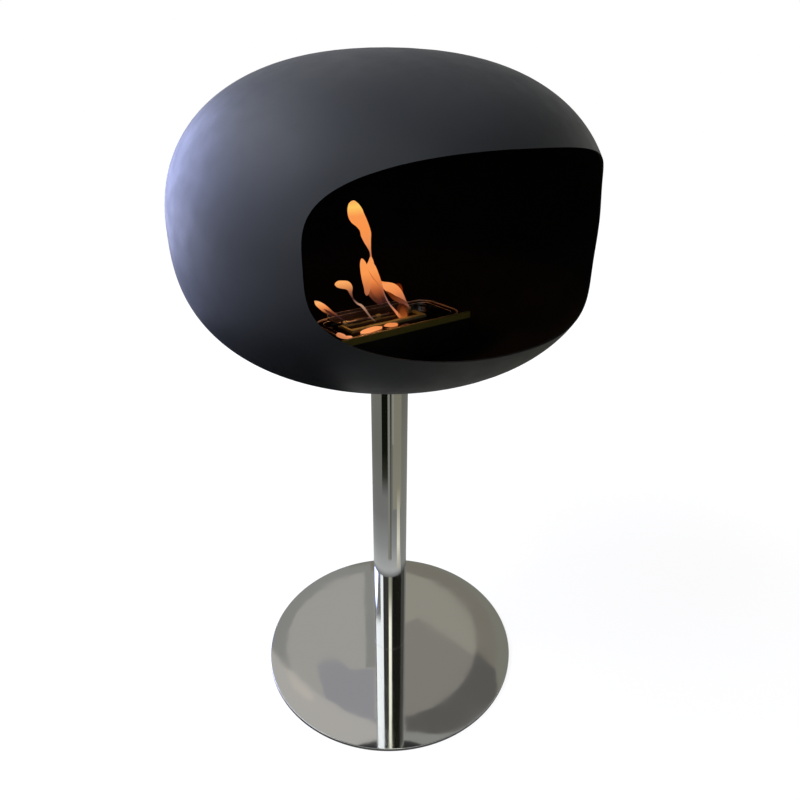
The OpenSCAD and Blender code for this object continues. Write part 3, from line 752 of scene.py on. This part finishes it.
# Below a set height the bars turn near black, and above it straw: they are darker towards the bottom.
dark_top, straw_from = 0.6693, 0.6705
darker_below = nodes.new("ShaderNodeMix")
darker_below.data_type = "RGBA"
darker_below.inputs["A"].default_value = (0.03, 0.022, 0.015, 1)
links.new(place.outputs["Object"], upright.inputs["Vector"])
straw_share = between(nodes, links, upright.outputs["Z"], 0, 1, (dark_top, straw_from))
links.new(straw_share, darker_below.inputs["Factor"])
links.new(nodes["Color Ramp"].outputs["Color"], darker_below.inputs["B"])
links.new(darker_below.outputs["Result"], nodes["Principled BSDF"].inputs["Base Color"])
# The bars' eased edges take the pale rose painted highlight.
bars = remade("slot_frame", "flame_slot_frame", 0.0003, [slot_steel, edge_highlight])
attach(bars, "burner")
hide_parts("slot_frame")
dress("hinge_pin", dull_steel)
bar_heads = [(x, y, z) for x in (-0.055, 0.031) for y, z in ((-0.0165, 0.674), (0.014, 0.67145))]
bar_cross_w, bar_cross_deep = 0.0024, 0.0008
bar_fixings = crossed(remade("frame_screws", "bar_screws", 0.0001, [dull_steel]),
                      bar_heads, bar_cross_w, bar_cross_deep)
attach(bar_fixings, "burner")
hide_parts("frame_screws")

# Snuffer flap: a folded steel lid that turns over onto the slot and puts the
# fire out. A hook goes through the hole in its tab.
flap_steel = brushed("flap_steel", (0.09, 0.07, 0.065), (0.03, 0.024, 0.024), 0.3, 0.8)
# The flap's eased edges take the pale rose painted highlight.
flap = remade("snuffer_flap", "snuffer_lid", 0.0004, [flap_steel, edge_highlight])
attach(flap, "snuffer")
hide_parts("snuffer_flap")


# Flames: burning vapour, which no metal or solid stands for. Most rise from the
# slot and lean to the left, and three creep along in front of its bars.
slot_y, before_y, behind_y, rim_top = -0.001, -0.0055, 0.0025, 0.6755


def standing(along, up, thick):
    """Upright in the slot."""
    return along, thick + slot_y, up


def before(along, up, thick):
    """Upright, just in front of the flames in the slot."""
    return along, thick + before_y, up


def behind(along, up, thick):
    """Upright, just behind the flames in the slot."""
    return along, thick + behind_y, up


def lying(along, back, thick):
    """Flat, level with the tray's rim."""
    return along, back, rim_top + thick


def tongue(name, stations, material, place, depth, around=20):
    """A flame through stations of two coordinates and half width, in millimetres.

    Its thickness is its width times depth.
    """
    per_station, nudge, thinnest = 8, 0.01, 0.0002
    last = len(stations) - 1
    steps = per_station * last
    bpy.ops.object.select_all(action="DESELECT")
    bpy.ops.mesh.primitive_grid_add(x_subdivisions=around, y_subdivisions=steps, size=1)
    piece = bpy.context.object
    piece.name = name
    points = [Vector(s) / 1000 for s in stations]
    points = [2 * points[0] - points[1]] + points + [2 * points[-1] - points[-2]]

    def on_path(t):
        """The smooth path through the stations at t, counted in stations."""
        i = min(int(t), last - 1)
        f = t - i
        a, b, c, d = points[i:i + 4]
        return 0.5 * (2 * b + (c - a) * f + (2 * a - 5 * b + 4 * c - d) * f ** 2
                      + (3 * b - a - 3 * c + d) * f ** 3)

    for index, vertex in enumerate(piece.data.vertices):
        row, step = divmod(index, around + 1)
        t = row / steps * last
        x, z, half = on_path(t)
        ahead, past = on_path(min(t + nudge, last)), on_path(max(t - nudge, 0))
        run = Vector((ahead.x - past.x, ahead.y - past.y)).normalized()
        turn = 2 * math.pi * (step % around) / around
        end = min(t, last - t, 1)
        half = max(half, thinnest) * math.sqrt(end * (2 - end))
        vertex.co = place(x - run.y * half * math.cos(turn), z + run.x * half * math.cos(turn),
                          depth * half * math.sin(turn))
    closed(piece)
    settle(piece, 180)
    piece.data.materials.append(material)
    return piece


def burning(name, colours, low, high, axis="Z"):
    """A flame's glow and how much it hides, from low to high along one axis."""
    material, nodes, links, shader = finish(name, (0, 0, 0), 1.0)
    shader.inputs["Specular IOR Level"].default_value = 0
    place = nodes.new("ShaderNodeTexCoord")
    parts = nodes.new("ShaderNodeSeparateXYZ")
    ramp = nodes.new("ShaderNodeValToRGB")
    span = nodes.new("ShaderNodeMapRange")
    span.inputs["From Min"].default_value, span.inputs["From Max"].default_value = low, high
    links.new(place.outputs["Object"], parts.inputs["Vector"])
    links.new(parts.outputs[axis], span.inputs["Value"])
    links.new(span.outputs["Result"], ramp.inputs["Fac"])
    while len(ramp.color_ramp.elements) < len(colours):
        ramp.color_ramp.elements.new(0.5)
    for element, (at, *colour) in zip(ramp.color_ramp.elements, colours):
        element.position, element.color = at, colour
    links.new(ramp.outputs["Color"], shader.inputs["Emission Color"])
    links.new(ramp.outputs["Alpha"], shader.inputs["Alpha"])
    shader.inputs["Emission Strength"].default_value = 1.0
    return material


orange = burning("flame_orange", [
    (0.0, 0.45, 0.14, 0.07, 0.7), (0.25, 0.85, 0.28, 0.09, 0.95), (0.5, 0.97, 0.30, 0.07, 1),
    (0.70, 0.95, 0.31, 0.08, 1), (0.84, 1.0, 0.58, 0.12, 1), (1.0, 0.92, 0.28, 0.09, 0.95)
], 0.768, 0.856)
lobe_orange = burning("flame_lobe", [
    (0.0, 0.03, 0.008, 0.02, 0.25), (0.18, 0.10, 0.025, 0.012, 0.4), (0.36, 0.45, 0.10, 0.03, 0.7),
    (0.55, 0.85, 0.24, 0.06, 0.9), (0.75, 0.95, 0.33, 0.09, 1), (1.0, 0.92, 0.33, 0.10, 0.95)
], 0.692, 0.772)
leaf_orange = burning("flame_leaf", [
    (0.0, 0.35, 0.12, 0.06, 0.7), (0.25, 0.62, 0.18, 0.06, 0.8), (0.6, 0.97, 0.32, 0.08, 0.95),
    (1.0, 0.95, 0.34, 0.10, 1)
], 0.712, 0.772)
low_orange = burning("flame_low", [
    (0.0, 0.10, 0.05, 0.045, 0.4), (0.30, 0.24, 0.12, 0.08, 0.8), (0.48, 0.50, 0.27, 0.18, 0.9),
    (0.62, 0.06, 0.02, 0.02, 0.4), (0.74, 0.35, 0.12, 0.06, 0.7), (0.85, 0.75, 0.28, 0.09, 0.95),
    (0.95, 0.97, 0.42, 0.13, 1), (1.0, 0.90, 0.34, 0.10, 1)
], 0.664, 0.746)
side_orange = burning("flame_side", [
    (0.0, 0.10, 0.05, 0.04, 0.5), (0.3, 0.45, 0.15, 0.08, 0.8), (0.6, 0.85, 0.26, 0.08, 0.95),
    (0.85, 0.95, 0.33, 0.10, 1), (1.0, 0.80, 0.22, 0.06, 0.9)
], 0.680, 0.736)
leaning = burning("flame_leaning", [
    (0.0, 0.06, 0.02, 0.03, 0.3), (0.45, 0.05, 0.015, 0.02, 0.5), (0.62, 0.28, 0.08, 0.03, 0.8),
    (0.75, 0.85, 0.27, 0.08, 0.95), (0.88, 0.97, 0.45, 0.16, 1), (1.0, 0.60, 0.22, 0.10, 0.9)
], 0.664, 0.726)
stem_violet = burning("flame_stem", [
    (0.0, 0.95, 0.28, 0.07, 0.95), (0.12, 0.80, 0.24, 0.08, 0.9), (0.3, 0.28, 0.13, 0.10, 0.8),
    (0.6, 0.30, 0.13, 0.11, 0.8), (1.0, 0.55, 0.18, 0.08, 0.6)
], 0.664, 0.770)
shade_red = burning("flame_shade", [
    (0.0, 0.12, 0.03, 0.02, 0.4), (0.4, 0.22, 0.03, 0.003, 0.8), (1.0, 0.075, 0.006, 0.001, 0.8)
], 0.692, 0.730)
foot_red = burning("flame_foot", [
    (0.0, 0.26, 0.06, 0.01, 0.45), (0.4, 0.14, 0.025, 0.006, 0.4), (1.0, 0.06, 0.010, 0.003, 0.25)
], 0.662, 0.700)
foot_orange = burning("flame_root", [
    (0.0, 0.85, 0.26, 0.06, 0.8), (0.35, 0.45, 0.11, 0.02, 0.6), (1.0, 0.09, 0.015, 0.004, 0.25)
], 0.662, 0.690)
veil_brown = burning("flame_veil", [
    (0.0, 0.03, 0.010, 0.012, 0.5), (0.4, 0.12, 0.03, 0.014, 0.6), (0.75, 0.35, 0.09, 0.03, 0.7),
    (1.0, 0.70, 0.20, 0.06, 0.8)
], 0.692, 0.734)
fold_red = burning("flame_fold", [
    (0.0, 0.45, 0.12, 0.05, 0.5), (0.5, 0.62, 0.16, 0.04, 0.7), (1.0, 0.75, 0.20, 0.05, 0.4)
], 0.719, 0.755)
dusk_red = burning("flame_dusk", [
    (0.0, 0.16, 0.05, 0.035, 0.8), (0.35, 0.16, 0.035, 0.010, 0.8), (0.7, 0.10, 0.014, 0.001, 0.85),
    (1.0, 0.30, 0.07, 0.02, 0.8)
], 0.690, 0.722)
hollow_dark = burning("flame_hollow", [
    (0.0, 0.02, 0.006, 0.01, 0.9), (1.0, 0.10, 0.02, 0.006, 0.9)
], 0.694, 0.711)
creeping = burning("flame_creeping", [
    (0.0, 0.65, 0.22, 0.09, 0.9), (0.12, 0.97, 0.36, 0.15, 1), (0.4, 0.97, 0.33, 0.11, 1),
    (0.8, 0.80, 0.24, 0.07, 0.95), (1.0, 0.30, 0.05, 0.01, 0.6)
], -0.108, 0.010, "X")

# Each tongue: its stations, its glow, how it is placed, the direction it shrinks
# in and how far along the slot, in millimetres, the point is that it shrinks to.
tongues = {
    "tall_flame": ([
        (-59.9, 850, 5.3), (-60, 844, 8.6), (-58.6, 837, 11.3), (-55.3, 829.5, 12.1), (-48.5, 821, 9.7),
        (-43, 812, 8.2), (-40.4, 803, 8.4), (-38.5, 795, 6.3), (-36, 786.7, 3.6), (-33.8, 779, 1.5),
        (-33, 773.8, 1.3), (-32.5, 768, 2.2)
    ], orange, standing, (-0.28, 0, 0.96), -12),
    "flame_lobe": ([
        (-33, 773, 1.3), (-33, 764, 4.5), (-33.5, 758, 7.1), (-31.9, 750, 9.2), (-28.7, 739, 10.4),
        (-25, 728, 10.8), (-20, 718, 9.4), (-13.8, 707, 6.3), (-6.8, 697, 3.0)
    ], lobe_orange, standing, (-0.28, 0, 0.96), -12),
    "flame_leaf": ([
        (-48.8, 770.5, 2.8), (-46.6, 762, 5.2), (-44, 751.5, 6.9), (-41.4, 740, 7.4),
        (-39.9, 729.5, 6.3), (-40.6, 720, 4.1), (-41, 715, 2.3)
    ], leaf_orange, standing, (-0.45, 0, 0.89), -12),
    "flame_veil": ([
        (-36.3, 731.7, 3.4), (-31.7, 722, 7.1), (-25.3, 713, 7.4), (-17.6, 703, 5.3),
        (-10.2, 693.7, 1.9)
    ], veil_brown, behind, (-0.28, 0, 0.96), -12),
    "flame_fold": ([
        (-41, 754, 0.4), (-33.8, 742.6, 1.0), (-25, 732, 1.2), (-16, 719, 0.8)
    ], fold_red, before, (-0.28, 0, 0.96), -12),
    "flame_stem": ([
        (-31.3, 769, 0.7), (-29, 758.7, 0.9), (-24.4, 744, 1.1), (-17.5, 729, 1.1), (-7.7, 708, 1.1),
        (-0.7, 696, 1.3), (9.4, 684, 1.7), (19.7, 672, 2.5), (26, 665, 1.7)
    ], stem_violet, standing, (-0.5, 0, 0.87), 20),
    "right_flame": ([
        (-19.3, 733.6, 1.5), (-11.8, 727.5, 4.2), (-2.9, 722.3, 7.2), (5.3, 717, 9.2),
        (13.7, 710.5, 8.6), (22, 702, 6.0), (30, 692.4, 3.0), (39, 682.5, 1.3)
    ], side_orange, standing, (-0.5, 0, 0.87), 30),
    "flame_dusk": ([
        (-10.0, 718.7, 0.6), (-2.5, 712.1, 2.4), (5.8, 705.3, 3.5), (16.6, 699.1, 3.7),
        (26.4, 694.4, 2.1), (33.4, 689.2, 0.8)
    ], dusk_red, before, (-0.5, 0, 0.87), 30),
    "flame_shade": ([
        (14.6, 723.5, 4.0), (18, 717.7, 6.8), (20.4, 711, 6.9), (24.4, 703, 4.1), (28.4, 695, 1.8)
    ], shade_red, behind, (-0.2, 0, 0.98), 25),
    "flame_foot": ([
        (25.2, 694.6, 5.5), (24.6, 687.7, 9.5), (25, 679.4, 10.4), (26, 671, 9.1), (25.5, 663, 5.7)
    ], foot_red, standing, (0, 0, 1), 25),
    "flame_root": ([
        (24, 688.8, 2.5), (24.6, 681.6, 5.4), (25.6, 674, 7.0), (26, 668, 6.6), (24.7, 662, 3.6)
    ], foot_orange, standing, (0, 0, 1), 25),
    "curled_flame": ([
        (-94.6, 740, 2.9), (-88.8, 739.3, 4.9), (-81.8, 737.7, 5.7), (-74.4, 735.5, 5.9),
        (-70, 730.8, 4.8), (-68.6, 724, 2.5), (-66.5, 717.7, 1.4), (-62.9, 711.6, 1.2),
        (-57.4, 706, 1.3), (-51.7, 702.5, 1.7), (-45.6, 696, 1.8), (-39.5, 687.5, 1.4),
        (-32.7, 679, 1.2), (-25.4, 672, 0.8)
    ], low_orange, standing, (-0.55, 0, 0.835), -28),
    "left_flame": ([
        (-128, 721.8, 1.6), (-123.5, 717.4, 3.6), (-117, 712, 4.8), (-110, 706, 4.7),
        (-101.8, 700, 3.1), (-92.6, 694, 1.5), (-81, 684.7, 0.7), (-70, 674.8, 0.6)
    ], leaning, standing, (-0.74, 0, 0.67), -66),
    "flame_hollow": ([
        (-116.8, 709.8, 0.5), (-110, 704.2, 1.6), (-103.3, 699, 1.6), (-96.8, 695, 0.7)
    ], hollow_dark, before, (-0.74, 0, 0.67), -66),
    "creeping_left": ([
        (-102.3, -18.3, 3.8), (-105.5, -30.1, 6.2), (-106.7, -39.7, 5.1), (-102.1, -43.0, 6.3),
        (-95.0, -41.7, 5.1)
    ], creeping, lying, (-0.66, -0.72, 0.22), -68),
    "creeping_middle": ([
        (-78.8, -41.4, 4.1), (-69.1, -38.1, 7.3), (-56.3, -34.9, 8.1), (-44.0, -33.2, 7.2),
        (-36.0, -31.8, 2.8)
    ], creeping, lying, (0, -0.95, 0.31), -58),
    "creeping_right": ([
        (-34.0, -33.4, 3.0), (-25.5, -34.2, 7.6), (-17.5, -33.9, 8.3), (-9.0, -31.0, 4.2)
    ], creeping, lying, (0, -0.95, 0.31), -22),
}
usual_depth, hollow_depth, lying_depth = 0.4, 0.9, 0.15
for name, (stations, material, place, axis, root) in tongues.items():
    depth = lying_depth if place == lying else usual_depth
    if name == "flame_hollow":
        depth = hollow_depth
    flame = tongue(name, stations, material, place, depth)
    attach(flame, "burner")
    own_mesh(flame)

# The fire's own glow on the metal round it. It shines down on the burner and
# turns with the flap, so that it lies under the burner and shines up into the
# steel once the flap is shut.
fire_middle = (-0.03, -0.005, 0.745)
bpy.ops.object.light_add(type="SPOT", location=fire_middle)
glow = bpy.context.object
glow.name = "fire_glow"
glow.data.energy = 0.4
glow.data.color = (1.0, 0.42, 0.14)
glow.data.shadow_soft_size = 0.025
glow.data.spot_size = math.radians(176)
glow.data.spot_blend = 0.05
glow.visible_camera = False
glow.parent = frame["bodies"]["snuffer"]
glow.matrix_parent_inverse = glow.parent.matrix_world.inverted()
